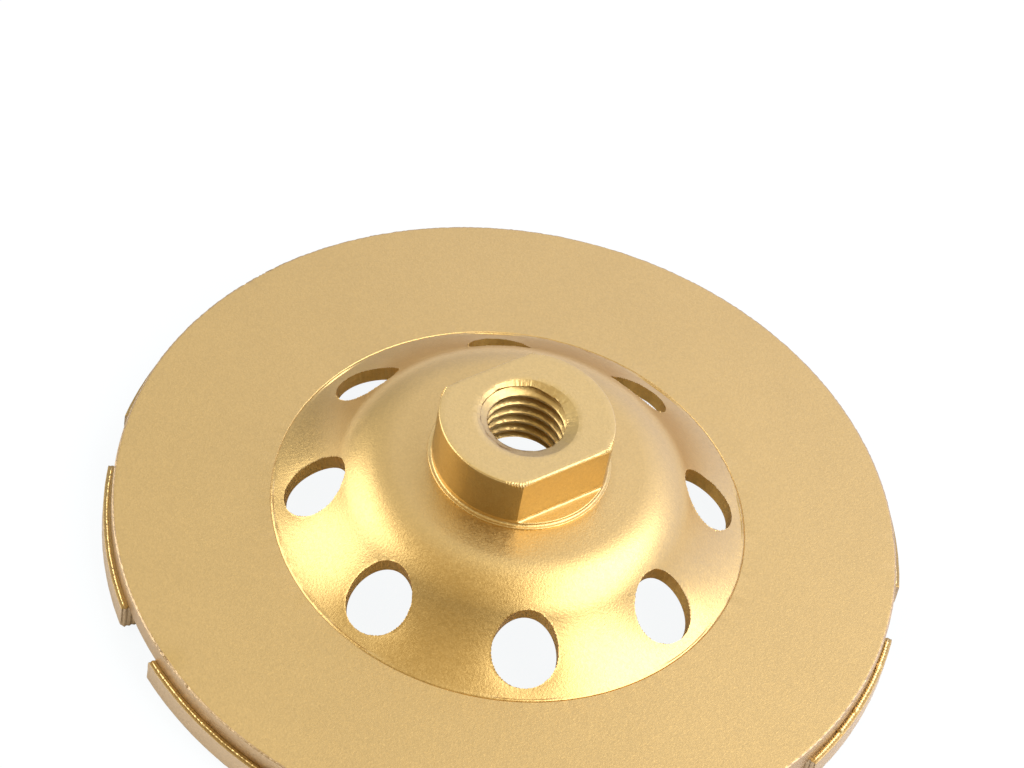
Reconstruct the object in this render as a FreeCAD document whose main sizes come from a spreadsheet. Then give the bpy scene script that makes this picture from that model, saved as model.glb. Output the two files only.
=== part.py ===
"""Diamond cup wheel of the 125 mm class, for an angle grinder with an M14 spindle.

A pressed and turned steel body carries ten diamond segments brazed under its flange, and a turned
steel hub with the spindle thread is clinched into its crown. Units are millimetres. The wheel's
axis is Z, the segments grind in Z = 0 and the hub points up, its spanner flats facing +Y and -Y.
"""
import FreeCAD, Part

import math
import os

import Sketcher

Vector = FreeCAD.Vector

DIMENSIONS = {
    "flange_radius": (61.0, "outer radius of the steel body"),
    "rim_thickness": (3.25, "thickness of the body at its rim"),
    "rim_rounding": (0.3, "rounding of the rim's upper edge"),
    "flange_rise": (0.85, "climb of the turned upper face from the rim to the dome"),
    "seat_radius": (14.6, "radius of the flat seat on the crown"),
    "dome_run": (22.2, "radial width of the dome, from the seat to the turned face"),
    "dome_base_angle": (25.0, "slope of the dome where it leaves the flange, degrees"),
    "foot_share": (1.2, "radius of the dome's hollow foot, as a share of the dome's run"),
    "shoulder_share": (0.5, "radius of the dome's round shoulder, as a share of the dome's run"),
    "crown_angle": (4.0, "slope of the crown outside the hub's seat, degrees"),
    "crown_height": (13.15, "hub's seat above the rim's upper edge"),
    "dome_wall": (2.4, "wall of the dome and the crown"),
    "hub_fit_radius": (11.0, "bore of the crown, filled by the hub's spigot"),
    "clinch": (0.6, "countersink under the crown, filled by the clinched end of the spigot"),
    "dust_hole_radius": (5.08, "radius of each dust hole"),
    "dust_hole_out_share": (0.712, "place of a dust hole's axis on the dome, as a share of its run"),
    "dust_hole_up_share": (0.38, "height of that place, as a share of the crown's height"),
    "dust_hole_tilt": (13.5, "lean of a dust hole's axis away from the wheel's axis, degrees"),
    "dust_hole_reach": (8.0, "cut of a dust hole to each side of that place"),
    "dust_hole_count": (8.0, "number of dust holes"),
    "dust_hole_phase": (15.95, "angle of the first dust hole, degrees"),
    "hub_radius": (13.45, "radius of the hub's barrel"),
    "hub_height": (9.45, "hub's end face above the crown's seat"),
    "hub_edge": (0.25, "rounding of the hub's upper edge, on the barrel and on the flats"),
    "collar_radius": (14.1, "radius of the hub's collar on the crown"),
    "collar_height": (0.3, "height of the hub's collar"),
    "collar_rounding": (0.12, "rounding of the collar's edge"),
    "barrel_fillet": (0.3, "fillet between the collar and the barrel"),
    "flats_depth": (2.45, "depth of each spanner flat in the barrel, which leaves 22 mm across"),
    "flats_height": (8.65, "height of the spanner flats, down from the end face"),
    "flats_fillet": (0.3, "fillet at the foot of each spanner flat"),
    "thread_minor_radius": (5.92, "crest radius of the M14 x 2 thread"),
    "thread_mouth_radius": (7.73, "radius of the countersink at the thread's mouth"),
    "thread_mouth_slope": (30.0, "slope of that countersink from the end face, degrees"),
    "thread_exit_chamfer": (0.45, "chamfer at the thread's lower end"),
    "segment_count": (10.0, "number of diamond segments"),
    "segment_overhang": (1.2, "how far the segments stand out past the rim"),
    "segment_width": (7.5, "radial width of a segment"),
    "segment_height": (4.5, "height of a segment"),
    "segment_angle": (26.6, "angle that a segment spans, degrees"),
    "segment_phase": (11.2, "angle of the first segment's middle, degrees"),
    "segment_wear": (0.8, "rounding of a segment's lower outer edge"),
}

DOME_BASE = "(dims.seat_radius + dims.dome_run)"
FOOT_RADIUS = "(dims.dome_run * dims.foot_share)"
SHOULDER_RADIUS = "(dims.dome_run * dims.shoulder_share)"
SEGMENT_OUTER = "(dims.flange_radius + dims.segment_overhang)"
SEGMENT_INNER = f"({SEGMENT_OUTER} - dims.segment_width)"
RIM_TOP = "(dims.segment_height + dims.rim_thickness)"
SEAT = f"({RIM_TOP} + dims.crown_height)"
CROWN_UNDER = f"({SEAT} - dims.dome_wall)"
HUB_TOP = f"({SEAT} + dims.hub_height)"
SHELF = f"({HUB_TOP} - dims.flats_height)"
FLAT = "(dims.hub_radius - dims.flats_depth)"

# how close an edge must be to the place where it is looked for
EDGE_TOLERANCE = 1e-4


def size(alias):
    return DIMENSIONS[alias][0]


def value_of(formula):
    """The value of one of the sums and products above, at the sizes in the table."""
    total = 0.0
    for term in formula.replace("(", "").replace(")", "").replace(" - ", " + -").split(" + "):
        product = -1.0 if term.startswith("-") else 1.0
        for factor in term.lstrip("-").split(" * "):
            product *= size(factor.removeprefix("dims."))
        total += product
    return total


def make_sheet(document):
    """Puts every driving dimension in the sheet, with its alias and its meaning."""
    sheet = document.addObject("Spreadsheet::Sheet", "dims")
    for row, (alias, (value, meaning)) in enumerate(DIMENSIONS.items(), start=1):
        sheet.set(f"A{row}", alias)
        sheet.set(f"B{row}", str(value))
        sheet.set(f"C{row}", meaning)
        sheet.setAlias(f"B{row}", alias)
    document.recompute()


def origin_feature(body, role):
    return next(item for item in body.Origin.OriginFeatures if item.Role == role)


def add_body(document, name):
    body = document.addObject("PartDesign::Body", name)
    body.Label = name
    return body


def add_sketch(body, name, role):
    """A sketch on one of the body's own origin planes."""
    sketch = body.newObject("Sketcher::SketchObject", name)
    sketch.AttachmentSupport = (origin_feature(body, role), [""])
    sketch.MapMode = "FlatFace"
    return sketch


def add_line(sketch, start, end):
    return sketch.addGeometry(Part.LineSegment(Vector(*start, 0), Vector(*end, 0)), False)


def add_arc(sketch, centre, radius, start_angle, end_angle):
    circle = Part.Circle(Vector(*centre, 0), Vector(0, 0, 1), radius)
    return sketch.addGeometry(Part.ArcOfCircle(circle, start_angle, end_angle), False)


def add_outline(sketch, corners):
    """A closed outline of straight edges, each from its corner to the next."""
    count = len(corners)
    edges = [add_line(sketch, corners[i], corners[(i + 1) % count]) for i in range(count)]
    for i in range(count):
        tie(sketch, "Coincident", edges[i], 2, edges[(i + 1) % count], 1)
    return edges


def around(centre, radius, angle):
    return centre[0] + radius * math.cos(angle), centre[1] + radius * math.sin(angle)


def tie(sketch, kind, *what):
    return sketch.addConstraint(Sketcher.Constraint(kind, *what))


def drive(sketch, name, formula, *constraint):
    """Adds a dimension to the sketch and ties it to the sheet."""
    index = tie(sketch, *constraint)
    sketch.renameConstraint(index, name)
    sketch.setExpression(f"Constraints.{name}", formula)


def place_across(sketch, edge, end, name, formula):
    start = sketch.getPoint(edge, end).x
    drive(sketch, f"{name}_across", formula, "DistanceX", -1, 1, edge, end, start)


def place_up(sketch, edge, end, name, formula):
    start = sketch.getPoint(edge, end).y
    drive(sketch, f"{name}_up", formula, "DistanceY", -1, 1, edge, end, start)


def place_point(sketch, edge, end, name, across, up):
    """Ties one end of an edge, 1 its start and 2 its end, to two coordinates from the sheet."""
    place_across(sketch, edge, end, name, across)
    place_up(sketch, edge, end, name, up)


def add_feature(body, kind, name, profile):
    """A feature of the body that works on a sketch, made the body's tip."""
    feature = body.newObject(f"PartDesign::{kind}", name)
    feature.Profile = profile
    body.Tip = feature
    return feature


def revolve(document, body, sketch, name):
    """A full turn of the sketch about the wheel's axis."""
    feature = add_feature(body, "Revolution", name, sketch)
    feature.ReferenceAxis = (origin_feature(body, "Z_Axis"), [""])
    feature.Angle = 360.0
    document.recompute()
    return feature


def expect_smaller(feature, before):
    if not feature.Shape.Volume < before.Shape.Volume:
        raise RuntimeError(f"{feature.Name} cuts nothing")


def round_edges(feature, radius, height):
    """Names of a feature's circular edges of this radius at this height."""
    names = []
    for number, edge in enumerate(feature.Shape.Edges, start=1):
        curve = edge.Curve
        if not isinstance(curve, Part.Circle):
            continue
        off = max(abs(curve.Radius - radius), abs(curve.Center.z - height))
        if off < EDGE_TOLERANCE:
            names.append(f"Edge{number}")
    return names


def straight_edges(feature, height, distance):
    """Names of a feature's straight edges at this height and this distance along Y."""
    names = []
    for number, edge in enumerate(feature.Shape.Edges, start=1):
        if not isinstance(edge.Curve, Part.Line):
            continue
        ends = [vertex.Point for vertex in edge.Vertexes]
        off = max(max(abs(p.z - height), abs(abs(p.y) - distance)) for p in ends)
        if off < EDGE_TOLERANCE:
            names.append(f"Edge{number}")
    return names


def fillet(document, body, base, edges, alias, name):
    """Rounds edges of a feature by a radius from the sheet."""
    feature = body.newObject("PartDesign::Fillet", name)
    feature.Base = (base, edges)
    feature.setExpression("Radius", f"dims.{alias}")
    body.Tip = feature
    document.recompute()
    return feature


def dome_arcs():
    """Centres of the dome's two arcs in the section, and the angle at which they meet."""
    steep = math.radians(size("dome_base_angle"))
    slope = math.radians(size("crown_angle"))
    foot = value_of(FOOT_RADIUS)
    shoulder = value_of(SHOULDER_RADIUS)
    base_level = value_of(RIM_TOP) + size("flange_rise")
    foot_centre = around((value_of(DOME_BASE), base_level), foot, math.pi / 2 - steep)
    # the shoulder's centre runs along a line under the crown until it touches the foot's circle
    start = around((size("seat_radius"), value_of(SEAT)), shoulder, -math.pi / 2 - slope)
    gap = (start[0] - foot_centre[0], start[1] - foot_centre[1])
    along = gap[0] * math.cos(slope) - gap[1] * math.sin(slope)
    beyond = gap[0] ** 2 + gap[1] ** 2 - (foot + shoulder) ** 2
    shoulder_centre = around(start, -along - math.sqrt(along ** 2 - beyond), -slope)
    meeting = math.atan2(foot_centre[1] - shoulder_centre[1], foot_centre[0] - shoulder_centre[0])
    return foot_centre, shoulder_centre, meeting


def draw_body_section(sketch):
    """Half section of the steel body: turned flange, hollow foot, round shoulder and crown."""
    foot_centre, shoulder_centre, meeting = dome_arcs()
    slope = math.radians(size("crown_angle"))
    steep = math.radians(size("dome_base_angle"))
    wall = size("dome_wall")
    foot = value_of(FOOT_RADIUS)
    shoulder = value_of(SHOULDER_RADIUS)
    fit = size("hub_fit_radius")
    clinch = size("clinch")
    rim = size("flange_radius")
    under = size("segment_height")
    rim_top = value_of(RIM_TOP)
    crown_under = value_of(CROWN_UNDER)
    base = (value_of(DOME_BASE), rim_top + size("flange_rise"))
    seat = (size("seat_radius"), value_of(SEAT))
    shoulder_end = math.pi / 2 - slope
    foot_start = math.pi + meeting
    foot_end = 3 * math.pi / 2 - steep
    mouth_angle = math.pi + math.asin((foot_centre[1] - under) / (foot + wall))
    mouth = around(foot_centre, foot + wall, mouth_angle)
    crown_inner = around(shoulder_centre, shoulder - wall, shoulder_end)

    bore = add_line(sketch, (fit, crown_under + clinch), (fit, seat[1]))
    seat_top = add_line(sketch, (fit, seat[1]), seat)
    crown = add_line(sketch, seat, around(shoulder_centre, shoulder, shoulder_end))
    outer_shoulder = add_arc(sketch, shoulder_centre, shoulder, meeting, shoulder_end)
    outer_foot = add_arc(sketch, foot_centre, foot, foot_start, foot_end)
    flange_top = add_line(sketch, base, (rim, rim_top))
    rim_wall = add_line(sketch, (rim, rim_top), (rim, under))
    flange_under = add_line(sketch, (rim, under), mouth)
    inner_foot = add_arc(sketch, foot_centre, foot + wall, foot_start, mouth_angle)
    inner_shoulder = add_arc(sketch, shoulder_centre, shoulder - wall, meeting, shoulder_end)
    crown_inside = add_line(sketch, crown_inner, (seat[0], crown_under))
    seat_under = add_line(sketch, (seat[0], crown_under), (fit + clinch, crown_under))
    countersink = add_line(sketch, (fit + clinch, crown_under), (fit, crown_under + clinch))

    straight_loop = (bore, seat_top, crown)
    for first, second in zip(straight_loop, straight_loop[1:]):
        tie(sketch, "Coincident", first, 2, second, 1)
    tie(sketch, "Tangent", crown, 2, outer_shoulder, 2)
    tie(sketch, "Tangent", outer_shoulder, 1, outer_foot, 1)
    tie(sketch, "Coincident", outer_foot, 2, flange_top, 1)
    tie(sketch, "Coincident", flange_top, 2, rim_wall, 1)
    tie(sketch, "Coincident", rim_wall, 2, flange_under, 1)
    tie(sketch, "Coincident", flange_under, 2, inner_foot, 2)
    tie(sketch, "Tangent", inner_foot, 1, inner_shoulder, 1)
    tie(sketch, "Tangent", inner_shoulder, 2, crown_inside, 1)
    tie(sketch, "Coincident", crown_inside, 2, seat_under, 1)
    tie(sketch, "Coincident", seat_under, 2, countersink, 1)
    tie(sketch, "Coincident", countersink, 2, bore, 1)
    tie(sketch, "Coincident", outer_shoulder, 3, inner_shoulder, 3)
    tie(sketch, "Coincident", outer_foot, 3, inner_foot, 3)
    tie(sketch, "Parallel", crown, crown_inside)
    for edge in (seat_top, flange_under, seat_under):
        tie(sketch, "Horizontal", edge)
    for edge in (bore, rim_wall):
        tie(sketch, "Vertical", edge)

    place_point(sketch, rim_wall, 1, "rim", "dims.flange_radius", RIM_TOP)
    place_up(sketch, rim_wall, 2, "underside", "dims.segment_height")
    place_point(sketch, flange_top, 1, "base", DOME_BASE, f"{RIM_TOP} + dims.flange_rise")
    place_point(sketch, crown, 1, "seat", "dims.seat_radius", SEAT)
    place_point(sketch, countersink, 1, "clinch", "dims.hub_fit_radius + dims.clinch", CROWN_UNDER)
    place_point(sketch, bore, 1, "bore", "dims.hub_fit_radius", f"{CROWN_UNDER} + dims.clinch")
    centre_across = f"{DOME_BASE} + {FOOT_RADIUS} * sin(dims.dome_base_angle * 1 deg)"
    place_across(sketch, outer_foot, 3, "foot_centre", centre_across)
    drive(sketch, "foot", FOOT_RADIUS, "Radius", outer_foot, foot)
    drive(sketch, "inside", f"{FOOT_RADIUS} + dims.dome_wall", "Radius", inner_foot, foot + wall)
    drive(sketch, "shoulder", SHOULDER_RADIUS, "Radius", outer_shoulder, shoulder)
    drive(sketch, "crown_slope", "-dims.crown_angle * 1 deg", "Angle", crown, -slope)


def drill_dust_holes(document, body, turned):
    """A ring of round holes through the dome's foot, each leaning away from the wheel's axis."""
    hole = body.newObject("PartDesign::SubtractiveCylinder", "dust_hole")
    hole.AttachmentSupport = (origin_feature(body, "XY_Plane"), [""])
    hole.MapMode = "FlatFace"
    hole.setExpression("Radius", "dims.dust_hole_radius")
    hole.setExpression("Height", "2 * dims.dust_hole_reach")
    lean = "dims.dust_hole_tilt * 1 deg"
    turn = "dims.dust_hole_phase * 1 deg"
    middle_across = "dims.seat_radius + dims.dome_run * dims.dust_hole_out_share"
    middle_up = f"{RIM_TOP} + dims.crown_height * dims.dust_hole_up_share"
    foot_across = f"({middle_across} - dims.dust_hole_reach * sin({lean}))"
    foot_up = f"{middle_up} - dims.dust_hole_reach * cos({lean})"
    phase = math.radians(size("dust_hole_phase"))
    lean_axis = Vector(-math.sin(phase), math.cos(phase), 0)
    lean_turn = FreeCAD.Rotation(lean_axis, size("dust_hole_tilt"))
    hole.AttachmentOffset = FreeCAD.Placement(Vector(), lean_turn)
    hole.setExpression("AttachmentOffset.Rotation.Axis.x", f"-sin({turn})")
    hole.setExpression("AttachmentOffset.Rotation.Axis.y", f"cos({turn})")
    hole.setExpression("AttachmentOffset.Rotation.Angle", lean)
    hole.setExpression("AttachmentOffset.Base.x", f"{foot_across} * cos({turn}) * 1 mm")
    hole.setExpression("AttachmentOffset.Base.y", f"{foot_across} * sin({turn}) * 1 mm")
    hole.setExpression("AttachmentOffset.Base.z", f"({foot_up}) * 1 mm")
    body.Tip = hole
    document.recompute()
    expect_smaller(hole, turned)

    ring = body.newObject("PartDesign::PolarPattern", "dust_holes")
    ring.Originals = [hole]
    ring.Axis = (origin_feature(body, "Z_Axis"), [""])
    ring.Angle = 360.0
    ring.setExpression("Occurrences", "dims.dust_hole_count")
    body.Tip = ring
    document.recompute()
    expect_smaller(ring, hole)
    return ring


def make_cup_body(document):
    """The steel body: one turned section, its dust holes and the rounded edge of its rim."""
    body = add_body(document, "cup_body")
    section = add_sketch(body, "body_section", "XZ_Plane")
    draw_body_section(section)
    turned = revolve(document, body, section, "turned_body")
    drilled = drill_dust_holes(document, body, turned)
    rim_edge = round_edges(drilled, size("flange_radius"), value_of(RIM_TOP))
    fillet(document, body, drilled, rim_edge, "rim_rounding", "rim_edge")
    return body


def draw_hub_section(sketch):
    """Half section of the hub: clinched spigot, collar, barrel and countersunk bore."""
    crown_under = value_of(CROWN_UNDER)
    seat = value_of(SEAT)
    top = value_of(HUB_TOP)
    fit = size("hub_fit_radius")
    clinch = size("clinch")
    collar = size("collar_radius")
    collar_top = seat + size("collar_height")
    barrel = size("hub_radius")
    mouth = size("thread_mouth_radius")
    minor = size("thread_minor_radius")
    mouth_depth = (mouth - minor) * math.tan(math.radians(size("thread_mouth_slope")))
    chamfer = size("thread_exit_chamfer")
    edges = add_outline(sketch, [
        (minor + chamfer, crown_under),
        (fit + clinch, crown_under),
        (fit, crown_under + clinch),
        (fit, seat),
        (collar, seat),
        (collar, collar_top),
        (barrel, collar_top),
        (barrel, top),
        (mouth, top),
        (minor, top - mouth_depth),
        (minor, crown_under + chamfer),
    ])
    exit_across = "dims.thread_minor_radius + dims.thread_exit_chamfer"
    mouth_run = "(dims.thread_mouth_radius - dims.thread_minor_radius)"
    crest_top = f"{HUB_TOP} - {mouth_run} * tan(dims.thread_mouth_slope * 1 deg)"
    places = [
        ("exit", exit_across, CROWN_UNDER),
        ("clinch", "dims.hub_fit_radius + dims.clinch", CROWN_UNDER),
        ("spigot", "dims.hub_fit_radius", f"{CROWN_UNDER} + dims.clinch"),
        ("seat", "dims.hub_fit_radius", SEAT),
        ("collar_foot", "dims.collar_radius", SEAT),
        ("collar_top", "dims.collar_radius", f"{SEAT} + dims.collar_height"),
        ("barrel_foot", "dims.hub_radius", f"{SEAT} + dims.collar_height"),
        ("barrel_top", "dims.hub_radius", HUB_TOP),
        ("mouth", "dims.thread_mouth_radius", HUB_TOP),
        ("crest_top", "dims.thread_minor_radius", crest_top),
        ("crest_end", "dims.thread_minor_radius", f"{CROWN_UNDER} + dims.thread_exit_chamfer"),
    ]
    for edge, (name, across, up) in zip(edges, places):
        place_point(sketch, edge, 1, name, across, up)


def mill_flats(document, body, base):
    """Two parallel spanner flats, milled down from the end face to a shelf above the collar."""
    outline = add_sketch(body, "flats_outline", "XY_Plane")
    outline.setExpression("AttachmentOffset.Base.z", f"{HUB_TOP} * 1 mm")
    half = value_of(FLAT)
    clear = 2 * size("collar_radius")
    for side, label in ((1, "rear"), (-1, "front")):
        near = side * half
        far = side * clear
        edges = add_outline(outline, [(-clear, near), (clear, near), (clear, far), (-clear, far)])
        tie(outline, "Horizontal", edges[0])
        tie(outline, "Vertical", edges[1])
        tie(outline, "Horizontal", edges[2])
        tie(outline, "Vertical", edges[3])
        flat_up = f"{side} * {FLAT}"
        clear_up = f"{side} * 2 * dims.collar_radius"
        place_point(outline, edges[0], 1, f"{label}_flat", "-2 * dims.collar_radius", flat_up)
        place_point(outline, edges[2], 1, f"{label}_clear", "2 * dims.collar_radius", clear_up)
    milled = add_feature(body, "Pocket", "spanner_flats", outline)
    milled.setExpression("Length", "dims.flats_height")
    document.recompute()
    expect_smaller(milled, base)
    return milled


def make_spindle_hub(document):
    """The turned hub with the bore for the spindle thread and two spanner flats."""
    body = add_body(document, "spindle_hub")
    section = add_sketch(body, "hub_section", "XZ_Plane")
    draw_hub_section(section)
    turned = revolve(document, body, section, "turned_hub")

    collar_top = value_of(SEAT) + size("collar_height")
    collar_edge = round_edges(turned, size("collar_radius"), collar_top)
    rounded = fillet(document, body, turned, collar_edge, "collar_rounding", "collar_edge")
    barrel_foot = round_edges(rounded, size("hub_radius"), collar_top)
    rounded = fillet(document, body, rounded, barrel_foot, "barrel_fillet", "barrel_foot")

    milled = mill_flats(document, body, rounded)
    half_across = value_of(FLAT)
    flat_feet = straight_edges(milled, value_of(SHELF), half_across)
    footed = fillet(document, body, milled, flat_feet, "flats_fillet", "flat_feet")
    upper_edges = round_edges(footed, size("hub_radius"), value_of(HUB_TOP))
    upper_edges += straight_edges(footed, value_of(HUB_TOP), half_across)
    fillet(document, body, footed, upper_edges, "hub_edge", "upper_edges")
    return body


def draw_segment(sketch):
    """Plan of one segment, as a piece of a ring that lies evenly on both sides of +X."""
    middle = (0, 0)
    outer = value_of(SEGMENT_OUTER)
    inner = value_of(SEGMENT_INNER)
    half = math.radians(size("segment_angle") / 2)
    outer_arc = add_arc(sketch, middle, outer, -half, half)
    inner_arc = add_arc(sketch, middle, inner, -half, half)
    left = add_line(sketch, around(middle, inner, half), around(middle, outer, half))
    right = add_line(sketch, around(middle, inner, -half), around(middle, outer, -half))
    tie(sketch, "Coincident", outer_arc, 3, -1, 1)
    tie(sketch, "Coincident", inner_arc, 3, -1, 1)
    tie(sketch, "Coincident", left, 1, inner_arc, 2)
    tie(sketch, "Coincident", left, 2, outer_arc, 2)
    tie(sketch, "Coincident", right, 1, inner_arc, 1)
    tie(sketch, "Coincident", right, 2, outer_arc, 1)
    half_span = "sin(dims.segment_angle * 0.5 deg)"
    drive(sketch, "outer", SEGMENT_OUTER, "Radius", outer_arc, outer)
    drive(sketch, "inner", SEGMENT_INNER, "Radius", inner_arc, inner)
    place_up(sketch, outer_arc, 2, "left_outer", f"{SEGMENT_OUTER} * {half_span}")
    place_up(sketch, outer_arc, 1, "right_outer", f"-{SEGMENT_OUTER} * {half_span}")
    place_up(sketch, inner_arc, 2, "left_inner", f"{SEGMENT_INNER} * {half_span}")
    place_up(sketch, inner_arc, 1, "right_inner", f"-{SEGMENT_INNER} * {half_span}")


def make_segment(document, number):
    """One sintered diamond segment under the rim, rounded where it has worn in."""
    name = f"segment_{number:02d}"
    body = add_body(document, name)
    body.Placement.Rotation = FreeCAD.Rotation(Vector(0, 0, 1), 1.0)
    turn = f"(dims.segment_phase + {number - 1} * 360 / dims.segment_count) * 1 deg"
    body.setExpression("Placement.Rotation.Angle", turn)
    plan = add_sketch(body, f"{name}_plan", "XY_Plane")
    draw_segment(plan)
    bar = add_feature(body, "Pad", f"{name}_bar", plan)
    bar.setExpression("Length", "dims.segment_height")
    document.recompute()
    worn_edge = round_edges(bar, value_of(SEGMENT_OUTER), 0.0)
    fillet(document, body, bar, worn_edge, "segment_wear", f"{name}_wear")
    return body


def check_and_write(document, bodies):
    """Stops on a failed object or a bad shape, then writes one file for each piece."""
    for item in document.Objects:
        if "Invalid" in item.State or "Error" in item.State:
            raise RuntimeError(f"{item.Name} failed: {item.State}")
    for body in bodies:
        shape = body.Shape
        if shape.isNull() or not shape.isValid() or len(shape.Solids) != 1:
            raise RuntimeError(f"{body.Label} is not one valid solid")
    os.makedirs("parts", exist_ok=True)
    for body in bodies:
        body.Shape.exportStep(f"parts/{body.Label}.step")
        print(body.Label, "volume", round(body.Shape.Volume, 1))


def main():
    document = FreeCAD.newDocument("diamond_cup_wheel")
    make_sheet(document)
    bodies = [make_cup_body(document), make_spindle_hub(document)]
    for number in range(1, int(size("segment_count")) + 1):
        bodies.append(make_segment(document, number))
    document.recompute()
    check_and_write(document, bodies)


main()
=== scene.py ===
"""Looks of a diamond cup wheel: gold lacquered steel body, spindle hub, segments and braze."""
import math

import bmesh
import bpy
from mathutils import Euler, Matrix, Quaternion, Vector, noise


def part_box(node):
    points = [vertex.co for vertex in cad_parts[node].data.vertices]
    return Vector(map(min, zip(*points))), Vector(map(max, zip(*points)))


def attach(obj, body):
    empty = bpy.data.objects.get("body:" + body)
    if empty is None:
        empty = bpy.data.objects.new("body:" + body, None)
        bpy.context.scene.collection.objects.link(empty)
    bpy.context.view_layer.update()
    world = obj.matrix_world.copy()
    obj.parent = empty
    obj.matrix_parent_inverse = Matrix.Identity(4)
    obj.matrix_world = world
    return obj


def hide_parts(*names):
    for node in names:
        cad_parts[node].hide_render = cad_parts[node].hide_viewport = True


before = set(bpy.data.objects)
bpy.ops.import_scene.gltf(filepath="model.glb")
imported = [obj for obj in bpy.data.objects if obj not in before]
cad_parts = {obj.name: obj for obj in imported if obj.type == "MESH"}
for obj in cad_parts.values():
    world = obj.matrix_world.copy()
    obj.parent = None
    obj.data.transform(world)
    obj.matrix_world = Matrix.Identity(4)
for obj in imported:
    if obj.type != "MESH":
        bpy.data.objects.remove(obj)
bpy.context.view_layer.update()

bl_info = {
    "name": "Diamond Cup Wheel",
    "version": (1, 0, 0),
    "blender": (4, 5, 0),
    "location": "3D View > Sidebar > Cup Wheel",
    "description": "Dresses the packed cup wheel in gold lacquer, on a pale studio floor",
    "category": "Object",
}

MM = 0.001
# points closer than this, in metres, are one point
WELD = 2e-6

# heights over the grinding plane, in millimetres, read from the frame
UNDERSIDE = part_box("cup_body")[0].z / MM
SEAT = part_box("cup_body")[1].z / MM
CROWN_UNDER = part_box("spindle_hub")[0].z / MM
HUB_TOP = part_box("spindle_hub")[1].z / MM

# the body's section, in millimetres and degrees
RIM_RADIUS = 61.0
RIM_TOP = UNDERSIDE + 3.25
SEAT_RADIUS = 14.6
DOME_BASE = (36.8, RIM_TOP + 0.85)
BASE_ANGLE = math.radians(25)
FOOT_RADIUS = 26.64
SHOULDER_RADIUS = 11.1
CROWN_ANGLE = math.radians(4)
WALL = 2.4
CROWN_BORE = 11.0
CLINCH = 0.6

# the lathe left a low step where its facing cut ran out against the dome: distance outside the
# dome's part of the mesh and share of the step's depth; it is deepest at one angle
FOOT_STEP = ((0.18, 0.0), (0.25, 0.4), (0.31, 0.4), (0.39, 0.0), (0.60, 0.0))
DEEP_STEP = math.radians(-86)
# where the rim's edge is knocked, each a middle and a half width in degrees
KNOCKED = [(182.0, 4.5), (100.0, 4.0), (-30.7, 0.8), (-36.7, 0.7), (-120.0, 2.0)]

# dust holes: the middle of the first one, and how far they lean away from the axis
HOLE_COUNT = 8
HOLE_PHASE = math.radians(15.95)
HOLE_MIDDLE = (30.406, RIM_TOP + 4.997)
HOLE_TILT = math.radians(13.5)
HOLE_RADIUS = 5.08
# the punch's burr on the first rings of points: shares of its lean and of its height
BURR_OUT = (0.5, 0.3, 0.1)
BURR_UP = (1.1, 0.4, 0.0)
TOOTH_STEP = 0.46
DIP_REACH = 2.4

# hub
BARREL_RADIUS = 13.45
FLAT_DISTANCE = 11.0
FLAT_CORNER = math.asin(FLAT_DISTANCE / BARREL_RADIUS)
SHELF = HUB_TOP - 8.65
COLLAR_RADIUS = 14.1
COLLAR_TOP = SEAT + 0.3
MOUTH_RADIUS = 7.73
MOUTH_SLOPE = math.radians(21)
THREAD_CREST = 5.92
THREAD_ROOT = 7.12
THREAD_PITCH = 2.0
THREAD_EXIT = 0.45
# a groove's middle is at this height and angle
GROOVE_HEIGHT = HUB_TOP - 2.95
GROOVE_ANGLE = math.radians(48.9)
# the tap tore the mouth round this angle, and the cutter tore the flats' edges at this step
TORN_MOUTH = math.radians(-20)
TEAR_STEP = 0.43

# segments
SEGMENT_COUNT = 10
SEGMENT_OUTER = 62.2
SEGMENT_INNER = 54.7
SEGMENT_SPAN = math.radians(26.6)
SEGMENT_PHASE = math.radians(11.2)
# upright flutes that the mould leaves on the ends; they start at a share of the length and
# reach their full depth over another
FLUTE_STEP = 0.8
FLUTE_DEPTH = 0.09
FLUTE_START = 0.985
FLUTE_FADE = 0.015
# the bead of braze runs along the ledge that the segments leave outside the rim; it has drops,
# and round one angle it ran out wide and set in ribs
BEAD_RADIUS = 61.55
BEAD_STEPS = 240
BEAD_DROPS = [math.radians(a) for a in (-47.6, -53.2, -62.3, -67.1, -73.5)]
WIDE_BEAD = math.radians(-60)
WIDE_BEAD_HALF = math.radians(16)
RIB_STEP = 0.6

# stage: the camera stands where the photograph was taken from, its turn is in degrees
CAMERA_PLACE = (-0.253819, -0.285935, 0.459196)
CAMERA_TURN = (41.6163, -7.5026, -32.7385)
CAMERA_LENS = 134.553
FLOOR_HALF = 20.0
FLOOR_DROP = 0.0002
# room light by height, from the horizon to straight overhead
ROOM_LEVELS = [(0.0, 0.32), (0.26, 0.45), (0.57, 0.65), (0.74, 0.77), (1.0, 0.85)]
# azimuth and elevation of the middle of the dim side, and azimuth of the window
DIM_AZIMUTH = math.radians(208)
DIM_ELEVATION = math.radians(52)
WINDOW_AZIMUTH = math.radians(6)


def hex_to_linear(code):
    """Turns an sRGB hex colour into the linear values that shaders take."""
    channels = [int(code[i:i + 2], 16) / 255 for i in (1, 3, 5)]
    return [c / 12.92 if c <= 0.04045 else ((c + 0.055) / 1.055) ** 2.4 for c in channels]


def add_node(tree, kind, inputs=None, **settings):
    """Adds a node, sets its properties and fills its inputs with values or links."""
    node = tree.nodes.new(kind)
    for name, value in settings.items():
        setattr(node, name, value)
    for name, value in (inputs or {}).items():
        if isinstance(value, bpy.types.NodeSocket):
            tree.links.new(value, node.inputs[name])
        else:
            node.inputs[name].default_value = value
    return node


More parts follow.
